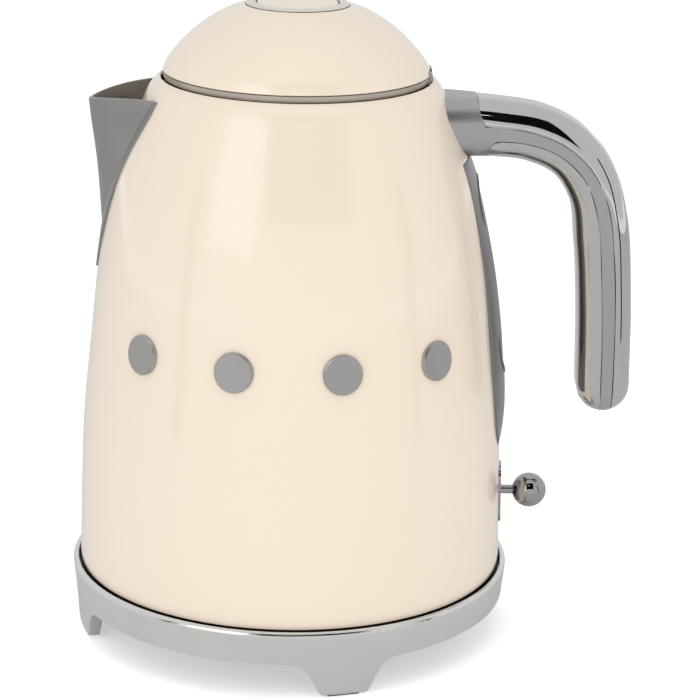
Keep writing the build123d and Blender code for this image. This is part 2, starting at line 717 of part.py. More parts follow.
def make_handle_core(blank):
    """Structural moulding: neck on the body and the band between cover and grip."""
    neck = loft([neck_section(46.0, 18.4, 23.2), neck_section(62.0, 15.4, 22.8),
                 neck_section(74.0, 12.6, 21.6)])
    core = blank + neck - cover_zone(0) - grip_zone(0) - body_envelope(-FIT)
    core = core - block((40, -30, 150), (70, 30, GAUGE_ENDS[1] + FIT))
    for y, z in HANDLE_SCREWS:
        core = core - rod((45, y, z), (71.0, y, z), SCREW_RADIUS + FIT)
    return largest(core)


def make_handle_outer_cover(blank):
    """Polished outer moulding of the handle."""
    return largest(blank & cover_zone(SEAM))


def make_handle_inner_grip(blank):
    """Polished inner moulding of the handle."""
    return largest(blank & grip_zone(SEAM))


def make_handle_bracket():
    """Steel block inside the wall that the handle screws pull against."""
    bracket = block((BRACKET_FACE, -13, 196.5), (70, 13, 207.5)) & body_envelope(WALL + FIT)
    for y, z in HANDLE_SCREWS:
        bracket = bracket - rod((40, y, z), (80, y, z), SCREW_HOLE)
    return bracket


def make_handle_screws():
    """Screws from inside the kettle into the handle's neck."""
    lying = Rot(0, 90, 0) * screw(0, 17.0, head_radius=3.2)
    return [Pos(BRACKET_FACE - 2.0, y, z) * lying for y, z in HANDLE_SCREWS]


# ---------------------------------------------------------------- switch
def make_switch_plate():
    """Oblong metal plate round the lever's slot."""
    plate = (body_envelope(-0.8) - body_envelope(-FIT)) & upright_slot(6.5, (41.0, 66.0))
    return largest(plate - lever_slot())


def make_lever_stem():
    """Plain round stem."""
    return rod((LEVER_PIVOT_X + 3.0, 0, LEVER_Z), (89.4, 0, LEVER_Z), 1.8)


def make_lever_hub():
    """Hub on the pivot pin with the tongue that works the rocker."""
    hub = cross_rod(LEVER_PIVOT_X, LEVER_Z, 4.6, 3.2)
    tongue = block((LEVER_PIVOT_X - LEVER_ARM, -1.5, LEVER_Z - 1.2),
                   (LEVER_PIVOT_X, 1.5, LEVER_Z + 1.2))
    bore = cross_rod(LEVER_PIVOT_X, LEVER_Z, 6, PIN_RADIUS + FIT)
    socket = rod((LEVER_PIVOT_X + 2.9, 0, LEVER_Z), (80, 0, LEVER_Z), 1.82)
    return hub + tongue - bore - socket


def make_lever_ball():
    """Polished ball on the stem."""
    socket = rod((80, 0, LEVER_Z), (89.5, 0, LEVER_Z), 1.82)
    return Pos(94.55, 0, LEVER_Z) * Sphere(6.8) - socket


def make_trip_rocker():
    """Rocker between the lever's tongue and the thermostat."""
    pivot_x, pivot_z = ROCKER_PIVOT
    arm = face_xz(line_xz((pivot_x, pivot_z + 1.6), (60.6, 52.4), (61.0, 50.4),
                          (pivot_x, pivot_z - 1.4), (pivot_x, pivot_z + 1.6)))
    finger = block((pivot_x - 3.6, -1.5, pivot_z - 0.8), (pivot_x, 1.5, pivot_z + 0.8))
    rocker = cross_rod(pivot_x, pivot_z, 3.0, 2.2) + both_ways(arm, 1.5) + finger
    return rocker - cross_rod(pivot_x, pivot_z, 4, PIN_RADIUS + FIT)


# ---------------------------------------------------------------- lid
def lid_notch():
    """Clearance round the fixed hinge knuckles."""
    reach = HINGE_HALF_WIDTH + GAP
    round_part = cross_rod(HINGE_X, HINGE_Z, reach, KNUCKLE_RADIUS + GAP)
    return round_part + block((46.9, -reach, 216), (53, reach, HINGE_Z))


def make_lid_dome():
    """Painted steel dome of the lid."""
    inner = inward(LID_OUTLINE, WALL)
    section = face_xz(
        curve_xz(LID_OUTLINE),
        line_xz(LID_OUTLINE[-1], inner[-1]),
        curve_xz(list(reversed(inner))),
        line_xz(inner[0], LID_OUTLINE[0]),
    )
    return revolve(section, Axis.Z) - lid_notch()


def make_lid_seam_band():
    """Metal band between the lid's dome and the body."""
    band = turned((48.6, LID_Z + 0.1), (50.3, LID_Z + 0.1), (50.7, 221.2), (48.6, 221.2))
    return band - lid_notch()


def lid_screw_spots():
    """Places of the screws that hold liner and dome together."""
    return [Rot(0, 0, angle) * Pos(38, 0, 0) for angle in (60, 130, 230, 300)]


def make_lid_liner():
    """Moulded inside of the lid: a cup in the mouth with the tower that guides the button."""
    cup = turned(
        (3.5, 211.4), (LINER_RADIUS, 211.4), (LINER_RADIUS, 219.0), (48.5, 219.0), (48.5, 221.2),
        (44.0, 221.2), (44.0, 212.8), (8.0, 212.8), (8.0, 232.0), (3.5, 232.0),
    )
    cup = cup + pair(block((-42.0, LATCH_HALF_WIDTH + 0.4, 212.0), (-20.0, 5.6, 218.6)))
    cup = cup - block((-47.0, -4.3, 215.0), (-8.5, 4.3, 218.9)) - lid_notch()
    cup = cup - block((-9.0, -4.3, 213.4), (9.0, 4.3, 221.4))
    cup = cup + block((44.2, -KNUCKLE_SPLIT, 219.0), (HINGE_X, KNUCKLE_SPLIT, 221.2))
    cup = cup + cross_rod(HINGE_X, HINGE_Z, KNUCKLE_SPLIT, KNUCKLE_RADIUS)
    cup = cup - cross_rod(HINGE_X, HINGE_Z, 12, HINGE_PIN_RADIUS + FIT)
    for spot in lid_screw_spots():
        cup = cup + spot * post(3.6, 212.0, 226.0)
        cup = cup - spot * post(SCREW_HOLE, 205, 230) - spot * post(3.1, 205, 213.6)
    return cup


def make_lid_screws():
    """Screws up through the liner."""
    return [spot * screw(211.55, 225.5) for spot in lid_screw_spots()]


def make_lid_seal():
    """Rubber lip seal round the liner."""
    return turned((45.45, 211.6), (47.6, 211.6), (47.6, 212.4), (46.4, 213.4), (46.4, 214.4),
                  (45.45, 214.4))


def make_button_bezel():
    """Metal ring round the button, with a sleeve down to guide it."""
    return revolve(face_xz(
        line_xz((19.6, 246.55), (19.6, 246.75)),
        arc_xz((19.6, 246.75), (17.8, 247.35), (15.9, 247.2)),
        line_xz((15.9, 247.2), (15.9, 238.0), (16.9, 238.0), (16.9, 246.4), (19.6, 246.55)),
    ), Axis.Z)


def make_button_cap():
    """Painted domed button, hollow underneath."""
    return revolve(face_xz(
        line_xz((0, 246.8), (14.2, 246.0), (14.2, 241.6), (BUTTON_RADIUS, 241.6),
                (BUTTON_RADIUS, 246.6)),
        arc_xz((BUTTON_RADIUS, 246.6), (15.25, 247.0), (14.8, 247.25)),
        TangentArc((0, 0, TOTAL_HEIGHT), (14.8, 0, 247.25), tangent=(1, 0, 0)),
        line_xz((0, TOTAL_HEIGHT), (0, 246.8)),
    ), Axis.Z)


def make_button_plunger():
    """Stem under the button, ending in a wedge that works the latch."""
    stem = post(PLUNGER_RADIUS, 221.0, 246.6) + post(9.5, 244.6, 245.8)
    wedge = face_xz(line_xz((-2.0, 222.0), (2.6, 222.0), (2.6, 218.0), (-2.0, 213.6),
                            (-2.0, 222.0)))
    return stem + both_ways(wedge, 1.6)


def make_button_spring():
    """Coil spring on the tower, under the button."""
    coil = Helix(pitch=3.0, height=11.4, radius=6.0)
    section = Plane(coil @ 0, z_dir=coil % 0) * Circle(0.45)
    return Pos(0, 0, 232.6) * sweep(section, coil)


def make_latch_bolt():
    """Sliding bolt that locks the lid at the spout side, with a slot for the wedge."""
    bolt = block((-49.8, -LATCH_HALF_WIDTH, 215.2), (6.5, LATCH_HALF_WIDTH, 217.6))
    slot = face_xz(line_xz((-6.0, 214), (-0.9, 214), (3.9, 218.6), (-6.0, 218.6), (-6.0, 214)))
    return bolt - both_ways(slot, 2.2)


def make_latch_spring():
    """Leaf behind the bolt that pushes it back towards the spout."""
    return block((6.52, -3.2, 213.6), (7.1, 3.2, 217.8))


# ---------------------------------------------------------------- assembly
def main():
    """Makes and writes every node."""
    os.makedirs("parts", exist_ok=True)
    blank = handle_blank()
    nodes = {
        "base_skirt": make_base_skirt(),
        "foot_pads": make_foot_pads(),
        "cord_drum": make_cord_drum(),
        "base_top_plate": make_base_top_plate(),
        "base_bottom_cover": make_base_bottom_cover(),
        "base_screws": make_base_screws(),
        "cord_grommet": make_cord_grommet(),
        "cord_clamp": make_cord_clamp(),
        "base_connector": make_base_connector(),
        "base_contacts": make_base_contacts(),
        "locating_collar": make_locating_collar(),
        "body_shell": make_body_shell(),
        "mouth_ring": make_mouth_ring(),
        "hinge_pin": make_hinge_pin(),
        "spout": make_spout(),
        "filter_rails": make_filter_rails(),
        "filter_frame": make_filter_frame(),
        "filter_mesh": make_filter_mesh(),
        "trim_studs": make_trim_studs(),
        "heated_floor": make_heated_floor(),
        "floor_seal": make_floor_seal(),
        "heat_spreader": make_heat_spreader(),
        "heating_element": make_heating_element(),
        "control_body": make_control_body(),
        "pivot_pins": make_pivot_pins(),
        "bimetal_disc": make_bimetal_disc(),
        "kettle_connector": make_kettle_connector(),
        "contact_rings": make_contact_rings(),
        "bottom_cover": make_bottom_cover(),
        "bottom_screws": make_bottom_screws(),
        "steam_tube": make_steam_tube(),
        "steam_tube_seal": make_steam_tube_seal(),
        "gauge_frame": make_gauge_frame(),
        "gauge_window": make_gauge_window(),
        "gauge_seal": make_gauge_seal(),
        "handle_core": make_handle_core(blank),
        "handle_outer_cover": make_handle_outer_cover(blank),
        "handle_inner_grip": make_handle_inner_grip(blank),
        "handle_bracket": make_handle_bracket(),
        "handle_screws": make_handle_screws(),
        "switch_plate": make_switch_plate(),
        "lever_stem": make_lever_stem(),
        "lever_hub": make_lever_hub(),
        "lever_ball": make_lever_ball(),
        "trip_rocker": make_trip_rocker(),
        "lid_dome": make_lid_dome(),
        "lid_seam_band": make_lid_seam_band(),
        "lid_liner": make_lid_liner(),
        "lid_screws": make_lid_screws(),
        "lid_seal": make_lid_seal(),
        "button_bezel": make_button_bezel(),
        "button_cap": make_button_cap(),
        "button_plunger": make_button_plunger(),
        "button_spring": make_button_spring(),
        "latch_bolt": make_latch_bolt(),
        "latch_spring": make_latch_spring(),
    }
    for name, shape in nodes.items():
        write(name, shape)


main()
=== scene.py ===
"""Looks of a domed cordless electric kettle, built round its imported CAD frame.

Shapes are worked out in millimetres and become metres when a piece is finished.
+X points to the handle, -X to the spout, and +Z up, with the origin on the table.
"""

import json
import logging
import math
from dataclasses import dataclass
from enum import Enum

import bmesh
import bpy
from mathutils import Matrix, Vector
from mathutils.geometry import interpolate_bezier, intersect_point_line


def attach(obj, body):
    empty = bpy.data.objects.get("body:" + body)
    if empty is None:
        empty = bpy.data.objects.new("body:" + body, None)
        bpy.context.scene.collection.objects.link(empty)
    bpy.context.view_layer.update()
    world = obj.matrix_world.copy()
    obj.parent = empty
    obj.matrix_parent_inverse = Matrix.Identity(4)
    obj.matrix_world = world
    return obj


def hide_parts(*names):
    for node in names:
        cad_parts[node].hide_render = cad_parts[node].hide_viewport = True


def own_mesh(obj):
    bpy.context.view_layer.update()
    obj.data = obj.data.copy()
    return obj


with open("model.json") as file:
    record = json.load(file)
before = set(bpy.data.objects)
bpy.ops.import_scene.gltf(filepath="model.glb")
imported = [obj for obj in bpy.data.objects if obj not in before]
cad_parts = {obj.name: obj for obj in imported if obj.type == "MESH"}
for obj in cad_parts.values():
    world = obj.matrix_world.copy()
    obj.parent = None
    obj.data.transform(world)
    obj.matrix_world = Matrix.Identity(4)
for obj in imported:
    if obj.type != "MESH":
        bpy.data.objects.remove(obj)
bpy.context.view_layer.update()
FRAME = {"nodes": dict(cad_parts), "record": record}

LOG = logging.getLogger("kettle")
MM = 0.001
TURN_STEPS = 240
SHARP_ANGLE = math.radians(32)
FILTER_MIDDLE = (-60.2, 0.0, 187.0)
FILTER_LEAN = math.radians(18)
FLOOR_TONE = (0.9, 0.9, 0.9, 1.0)

Point = tuple[float, float]
Colour = tuple[float, float, float, float]


class Body(Enum):
    """Rigid bodies of the frame that pieces ride on."""

    BASE = "power_base"
    COLLAR = "centring_collar"
    KETTLE = "kettle"
    FILTER = "spout_filter"
    LEVER = "switch_lever"
    LID = "lid"
    BUTTON = "lid_button"


class Way(Enum):
    """Direction in which a metal is brushed."""

    ROUND = (1.0, 1.0, 14.0)
    UPRIGHT = (14.0, 14.0, 1.0)
    EVEN = (1.0, 1.0, 1.0)


def colour(red: int, green: int, blue: int) -> Colour:
    """Turns a displayed colour into the renderer's linear one.

    Args:
        red: Red from 0 to 255.
        green: Green from 0 to 255.
        blue: Blue from 0 to 255.

    Returns:
        Linear red, green, blue and an alpha of 1.
    """
    parts = [level / 255 for level in (red, green, blue)]
    linear = [((part + 0.055) / 1.055) ** 2.4 if part > 0.04 else part / 12.92 for part in parts]
    return (*linear, 1.0)


# ---------------------------------------------------------------- shader tools
class Level:
    """A number that varies over a surface; arithmetic on it adds Math nodes."""

    def __init__(self, shader: "Shader", socket: bpy.types.NodeSocket) -> None:
        """Keeps the socket that gives the number."""
        self.shader = shader
        self.socket = socket

    def _math(self, operation: str, first: object, second: object, clamp: bool = False) -> "Level":
        """Adds one Math node.

        Args:
            operation: Name of the Math node's operation.
            first: First number or Level.
            second: Second number or Level.
            clamp: Whether the result stays between 0 and 1.

        Returns:
            The result as a new Level.
        """
        settings = {"operation": operation, "use_clamp": clamp}
        made = self.shader.node("ShaderNodeMath", settings, {0: first, 1: second})
        return Level(self.shader, made.outputs[0])

    def __add__(self, other: object) -> "Level":
        """Sum."""
        return self._math("ADD", self, other)

    __radd__ = __add__

    def __sub__(self, other: object) -> "Level":
        """Difference."""
        return self._math("SUBTRACT", self, other)

    def __rsub__(self, other: object) -> "Level":
        """Difference with the number first."""
        return self._math("SUBTRACT", other, self)

    def __mul__(self, other: object) -> "Level":
        """Product."""
        return self._math("MULTIPLY", self, other)

    __rmul__ = __mul__

    def __truediv__(self, other: object) -> "Level":
        """Quotient."""
        return self._math("DIVIDE", self, other)

    def clamped(self) -> "Level":
        """The number held between 0 and 1."""
        return self._math("ADD", self, 0.0, clamp=True)

    def above(self, edge: float, soft: float) -> "Level":
        """Mask that rises from 0 at the edge to 1 a little beyond it.

        Args:
            edge: Where the mask starts.
            soft: Distance over which it rises.

        Returns:
            The mask.
        """
        return ((self - edge) / soft).clamped()


class Shader:
    """One material and the nodes that it is made of."""

    def __init__(self, name: str) -> None:
        """Starts an empty node material."""
        self.material = bpy.data.materials.new(name)
        self.material.use_nodes = True
        self.tree = self.material.node_tree
        self.tree.nodes.clear()

    def node(self, kind: str, settings: dict | None = None,
             inputs: dict | None = None) -> bpy.types.Node:
        """Adds a node.

        Args:
            kind: Node type.
            settings: Properties that are set first.
            inputs: Values or links of its sockets, by name or number.

        Returns:
            The node.
        """
        made = self.tree.nodes.new(kind)
        for key, value in (settings or {}).items():
            setattr(made, key, value)
        for key, value in (inputs or {}).items():
            source = value.socket if isinstance(value, Level) else value
            if isinstance(source, bpy.types.NodeSocket):
                self.tree.links.new(source, made.inputs[key])
            else:
                made.inputs[key].default_value = source
        return made

    def place(self, stretch: tuple[float, float, float] = (1.0, 1.0, 1.0)) -> bpy.types.NodeSocket:
        """Position on the piece, stretched for a pattern.

        Args:
            stretch: Factor along each axis.

        Returns:
            Vector socket.
        """
        where = self.node("ShaderNodeTexCoord")
        mapping = self.node("ShaderNodeMapping", None,
                            {"Vector": where.outputs["Object"], "Scale": stretch})
        return mapping.outputs[0]

    def noise(self, scale: float, detail: float = 2.0,
              stretch: tuple[float, float, float] = (1.0, 1.0, 1.0)) -> Level:
        """Cloudy pattern.

        Args:
            scale: Features per metre.
            detail: Octaves.
            stretch: Factor along each axis.

        Returns:
            Level around one half.
        """
        made = self.node("ShaderNodeTexNoise", None, {
            "Vector": self.place(stretch), "Scale": scale, "Detail": detail})
        return Level(self, made.outputs[0])

    def axis(self, index: int) -> Level:
        """One coordinate of the position, in metres."""
        split = self.node("ShaderNodeSeparateXYZ", None, {0: self.place()})
        return Level(self, split.outputs[index])

    def blend(self, first: object, second: object, share: object) -> bpy.types.NodeSocket:
        """Mixes two colours.

        Args:
            first: Colour where the share is 0.
            second: Colour where the share is 1.
            share: Number or Level.

        Returns:
            Colour socket.
        """
        made = self.node("ShaderNodeMix", {"data_type": "RGBA"}, {0: share, 6: first, 7: second})
        return made.outputs[2]

    def surface(self, inputs: dict, relief: Level | None = None,
                depth: float = 0.0) -> bpy.types.Material:
        """Closes the material with its shader.

        Args:
            inputs: Values or links of the shader's sockets.
            relief: Height pattern for the bump.
            depth: Height of the bump in metres.

        Returns:
            The finished material.
        """
        shader = self.node("ShaderNodeBsdfPrincipled", None, inputs)
        if relief is not None:
            bump = self.node("ShaderNodeBump", None, {"Height": relief, "Distance": depth})
            self.tree.links.new(bump.outputs[0], shader.inputs["Normal"])
        self.node("ShaderNodeOutputMaterial", None, {0: shader.outputs[0]})
        return self.material


# ---------------------------------------------------------------- finishes
@dataclass(frozen=True)
class Enamel:
    """Thick glossy stove enamel with a faint orange peel."""

    name: str
    tone: Colour
    deep_tone: Colour

    def make(self) -> bpy.types.Material:
        """Builds the material."""
        shader = Shader(self.name)
        cloud = shader.noise(9.0, 1.0)
        speck = shader.noise(420.0, 3.0)
        peel = shader.noise(260.0, 1.0)
        share = (cloud * 0.5 + speck * 0.16).clamped()
        return shader.surface({
            "Base Color": shader.blend(self.tone, self.deep_tone, share),
            "Roughness": speck * 0.1 + 0.3,
            "Coat Weight": 1.0, "Coat Roughness": 0.1, "Coat IOR": 1.5,
        }, peel, 0.00001)


@dataclass(frozen=True)
class Metal:
    """Bare or plated metal with a brushed or polished face."""

    name: str
    tone: Colour
    roughness: float
    spread: float = 0.06
    way: Way = Way.EVEN
    grain: float = 380.0
    depth: float = 0.000004

    def make(self) -> bpy.types.Material:
        """Builds the material."""
        shader = Shader(self.name)
        brush = shader.noise(self.grain, 4.0, self.way.value)
        wear = shader.noise(24.0, 2.0)
        darker = tuple(part * 0.82 for part in self.tone[:3]) + (1.0,)
        return shader.surface({
            "Base Color": shader.blend(self.tone, darker, wear * 0.5 + brush * 0.3),
            "Metallic": 1.0,
            "Roughness": brush * self.spread + wear * self.spread * 0.5 + self.roughness,
        }, brush, self.depth)


@dataclass(frozen=True)
class LippedMetal:
    """Satin casting whose rolled top lip is polished."""

    name: str
    tone: Colour
    lip_height: float
    satin: float = 0.33
    polish: float = 0.08

    def make(self) -> bpy.types.Material:
        """Builds the material."""
        shader = Shader(self.name)
        cast = shader.noise(900.0, 4.0)
        wear = shader.noise(30.0, 2.0)
        lip = shader.axis(2).above(self.lip_height, 0.0006)
        dull = cast * 0.12 + wear * 0.05 + self.satin
        darker = tuple(part * 0.86 for part in self.tone[:3]) + (1.0,)
        return shader.surface({
            "Base Color": shader.blend(self.tone, darker, wear),
            "Metallic": 1.0,
            "Roughness": dull - lip * (self.satin - self.polish),
        }, cast * (1.0 - lip), 0.000008)


@dataclass(frozen=True)
class Moulding:
    """Moulded plastic or rubber with a fine grain."""

    name: str
    tone: Colour
    roughness: float
    grain: float = 1400.0
    depth: float = 0.00002

    def make(self) -> bpy.types.Material:
        """Builds the material."""
        shader = Shader(self.name)
        grain = shader.noise(self.grain, 3.0)
        cloud = shader.noise(40.0, 2.0)
        lighter = tuple(min(1.0, part * 1.35 + 0.004) for part in self.tone[:3]) + (1.0,)
        return shader.surface({
            "Base Color": shader.blend(self.tone, lighter, cloud),
            "Roughness": grain * 0.12 + self.roughness,
        }, grain, self.depth)


@dataclass(frozen=True)
class ClearWindow:
    """Clear smoked plastic of the water gauge."""

    name: str
    tone: Colour

    def make(self) -> bpy.types.Material:
        """Builds the material."""
        shader = Shader(self.name)
        ripple = shader.noise(60.0, 1.0)
        deeper = tuple(part * 0.7 for part in self.tone[:3]) + (1.0,)
        return shader.surface({
            "Base Color": shader.blend(self.tone, deeper, ripple),
            "Roughness": ripple * 0.04 + 0.04,
            "Transmission Weight": 0.55, "IOR": 1.49,
        }, ripple, 0.00001)


@dataclass(frozen=True)
class StudioPaper:
    """Seamless pale paper of the studio floor, lit a little from below."""

    name: str
    tone: Colour
    glow: float = 0.55

    def make(self) -> bpy.types.Material:
        """Builds the material."""
        shader = Shader(self.name)
        pulp = shader.noise(900.0, 3.0)
        return shader.surface({
            "Base Color": self.tone, "Roughness": pulp * 0.1 + 0.8,
            "Specular IOR Level": 0.1, "Emission Color": self.tone,
            "Emission Strength": self.glow,
        }, pulp, 0.00001)


CREAM = colour(240, 225, 207)
CREAM_DEEP = colour(234, 217, 195)
FINISHES = {
    "body_paint": Enamel("cream_enamel", CREAM, CREAM_DEEP),
    "skirt_metal": LippedMetal("satin_casting", colour(238, 237, 235), 0.0246),
    "spout_steel": Metal("spout_satin", colour(168, 167, 166), 0.36, 0.10, Way.UPRIGHT),
    "satin_steel": Metal("satin_stainless", colour(188, 187, 185), 0.30, 0.10, Way.ROUND),
    "polished_steel": Metal("polished_stainless", colour(178, 178, 179), 0.04, 0.03),
    "handle_satin": Metal("handle_satin_plating", colour(190, 190, 191), 0.32, 0.06),
    "handle_polish": Metal("handle_mirror_plating", colour(208, 208, 209), 0.035, 0.02),
    "gauge_metal": Metal("gauge_satin_plating", colour(142, 142, 141), 0.26, 0.08, Way.UPRIGHT),
    "gauge_clear": ClearWindow("smoked_window", colour(120, 118, 100)),
    "band_metal": Metal("seam_band_satin", colour(220, 213, 204), 0.34, 0.08, Way.ROUND),
    "bezel_metal": Metal("bezel_satin", colour(248, 243, 236), 0.28, 0.08, Way.ROUND),
    "black_plastic": Moulding("black_moulding", colour(30, 30, 31), 0.5),
    "grey_plastic": Moulding("grey_moulding", colour(150, 150, 148), 0.45),
    "filter_mesh": Moulding("filter_yarn", colour(214, 214, 208), 0.5),
    "rubber_black": Moulding("black_rubber", colour(34, 34, 34), 0.75, 2200.0, 0.00004),
    "seal_rubber": Moulding("grey_silicone", colour(92, 89, 82), 0.6),
    "contact_brass": Metal("contact_plating", colour(222, 196, 128), 0.18, 0.08),
    "spreader_aluminium": Metal("milled_aluminium", colour(206, 207, 209), 0.34, 0.1, Way.ROUND),
    "fastener_steel": Metal("zinc_plating", colour(196, 198, 202), 0.28, 0.08),
}


# ---------------------------------------------------------------- shape tools
def smooth_line(points: list[Point], per_span: int = 8) -> list[Vector]:
    """Smooth line through (x, z) points in the plane y = 0.

    Args:
        points: Points in order.
        per_span: Steps between two neighbours.

    Returns:
        Points along the line.
    """
    knots = [Vector((x, 0.0, z)) for x, z in points]
    reach = [(b - a).length for a, b in zip(knots, knots[1:])]
    pull = [(b - a) / size for a, b, size in zip(knots, knots[1:], reach)]
    slopes = [pull[0]]
    for before, after, near, far in zip(pull, pull[1:], reach, reach[1:]):
        slopes.append((before * far + after * near) / (near + far))
    slopes.append(pull[-1])
    line = [knots[0]]
    for start, end, out, back, size in zip(knots, knots[1:], slopes, slopes[1:], reach):
        leave = start + out * size / 3
        arrive = end - back * size / 3
        line.extend(interpolate_bezier(start, leave, arrive, end, per_span + 1)[1:])
    return line


def round_corner(centre: Point, radius: float, start: float, end: float,
                 count: int = 6) -> list[Vector]:
    """Arc in the plane y = 0.

    Args:
        centre: Centre as (x, z).
        radius: Radius.
        start: First angle in degrees, from +X towards +Z.
        end: Last angle in degrees.
        count: Steps.

    Returns:
        Points along the arc.
    """
    angles = [math.radians(start + (end - start) * i / count) for i in range(count + 1)]
    return [Vector((centre[0] + radius * math.cos(a), 0.0, centre[1] + radius * math.sin(a)))
            for a in angles]


def flat(points: list[Point]) -> list[Vector]:
    """Places (x, z) points in the plane y = 0."""
    return [Vector((x, 0.0, z)) for x, z in points]


def turn(line: list[Vector], closed: bool = False) -> bmesh.types.BMesh:
    """Turns a line about the upright axis.

    Args:
        line: Outline in the plane y = 0.
        closed: Whether the last point joins the first.

    Returns:
        The turned shape.
    """
    form = bmesh.new()
    corners = [form.verts.new(point) for point in line]
    chain = corners + corners[:1] if closed else corners
    edges = [form.edges.new(ends) for ends in zip(chain, chain[1:])]
    bmesh.ops.spin(form, geom=corners + edges, cent=(0, 0, 0), axis=(0, 0, 1), dvec=(0, 0, 0),
                   angle=math.tau, steps=TURN_STEPS, space=Matrix.Identity(4), use_merge=True,
                   use_normal_flip=False, use_duplicate=False)
    bmesh.ops.remove_doubles(form, verts=form.verts, dist=0.001)
    bmesh.ops.recalc_face_normals(form, faces=form.faces)
    return form


@dataclass(frozen=True)
class Window:
    """Opening in a turned sheet, by its middle direction, half-width and heights."""

    direction: float
    half_angle: float
    low: float
    high: float

    def cut(self, form: bmesh.types.BMesh) -> None:
        """Removes the faces that lie in the opening."""
        gone = []
        for face in form.faces:
            middle = face.calc_center_median()
            angle = math.degrees(math.atan2(middle.y, middle.x)) - self.direction
            offset = abs((angle + 180) % 360 - 180)
            if offset < self.half_angle and self.low < middle.z < self.high:
                gone.append(face)
        bmesh.ops.delete(form, geom=gone, context="FACES")


def nearest(line: list[Vector], point: Vector) -> Vector:
    """Point of a line of short straight runs that is nearest to a point."""
    best = line[0]
    for start, end in zip(line, line[1:]):
        foot, share = intersect_point_line(point, start, end)
        foot = start if share < 0 else end if share > 1 else foot
        if (foot - point).length < (best - point).length:
            best = Vector(foot)
    return best


@dataclass
class Maker:
    """Turns shapes into finished pieces that ride on the frame."""

    materials: dict[str, bpy.types.Material]

    def piece(self, form: bmesh.types.BMesh, name: str, body: Body, node: str,
              wall: float = 0.0, rounding: float = 0.0) -> bpy.types.Object:
        """Finishes a shape as one piece that stands for a CAD node.

        Args:
            form: Shape in millimetres; it is used up.
            name: Name of the piece.
            body: Body that it rides on.
            node: CAD node that it stands for, whose finish it takes.
            wall: Thickness that an open sheet gets inwards.
            rounding: Radius broken onto its edges.

        Returns:
            The piece.
        """
        bmesh.ops.scale(form, vec=(MM, MM, MM), verts=form.verts)
        mesh = bpy.data.meshes.new(name)
        form.to_mesh(mesh)
        form.free()
        made = bpy.data.objects.new(name, mesh)
        bpy.context.scene.collection.objects.link(made)
        if wall:
            shell = made.modifiers.new("wall", "SOLIDIFY")
            shell.thickness = wall * MM
            shell.offset = -1.0
            shell.use_even_offset = True
        if rounding:
            edge = made.modifiers.new("edges", "BEVEL")
            edge.width = rounding * MM
            edge.segments = 3
            edge.limit_method = "ANGLE"
            edge.angle_limit = math.radians(40)
        if wall or rounding:
            seen = made.evaluated_get(bpy.context.evaluated_depsgraph_get())
            made.data = bpy.data.meshes.new_from_object(seen)
            made.modifiers.clear()
        if "custom_normal" in made.data.attributes:
            made.data.attributes.remove(made.data.attributes["custom_normal"])
        made.data.shade_smooth()
        made.data.set_sharp_from_angle(angle=SHARP_ANGLE)
        slot = slot_of(node)
        made.data.materials.clear()
        made.data.materials.append(self.materials[slot])
        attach(made, body.value)
        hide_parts(node)
        LOG.info("%s stands for %s with %d faces", name, node, len(made.data.polygons))
        return made

    def smoothed(self, node: str, name: str, body: Body) -> bpy.types.Object:
        """Finishes a CAD node's own shape with its facets joined and its round faces smooth.

        Args:
            node: CAD node.
            name: Name of the piece.
            body: Body that it rides on.

        Returns:
            The piece.
        """
        form = bmesh.new()
        form.from_mesh(FRAME["nodes"][node].data)
        bmesh.ops.scale(form, vec=(1 / MM, 1 / MM, 1 / MM), verts=form.verts)
        bmesh.ops.remove_doubles(form, verts=form.verts, dist=0.002)
        return self.piece(form, name, body, node)

    def dress_frame(self) -> None:
        """Gives every CAD node that is still shown the finish of its slot."""
        for row in FRAME["record"]["subparts"]:
            shown = FRAME["nodes"][row["node"]]
            if shown.hide_render:
                continue
            shown.data.materials.clear()
            shown.data.materials.append(self.materials[row["material_slot"]])
            LOG.info("%s keeps its CAD shape", row["node"])


def slot_of(node: str) -> str:
    """Material slot that the record gives a node."""
    rows = {row["node"]: row["material_slot"] for row in FRAME["record"]["subparts"]}
    return rows[node]


# ---------------------------------------------------------------- sub-assemblies
@dataclass
class PowerBase:
    """Round base with its metal skirt."""

    def build(self, maker: Maker) -> None:
        """Builds the base's pieces."""
        maker.smoothed("base_skirt", "skirt_casting", Body.BASE)
        maker.smoothed("base_top_plate", "standing_plate", Body.BASE)
        maker.smoothed("base_bottom_cover", "base_floor", Body.BASE)
        maker.smoothed("base_connector", "connector_tower", Body.BASE)
        maker.smoothed("locating_collar", "centring_ring", Body.COLLAR)


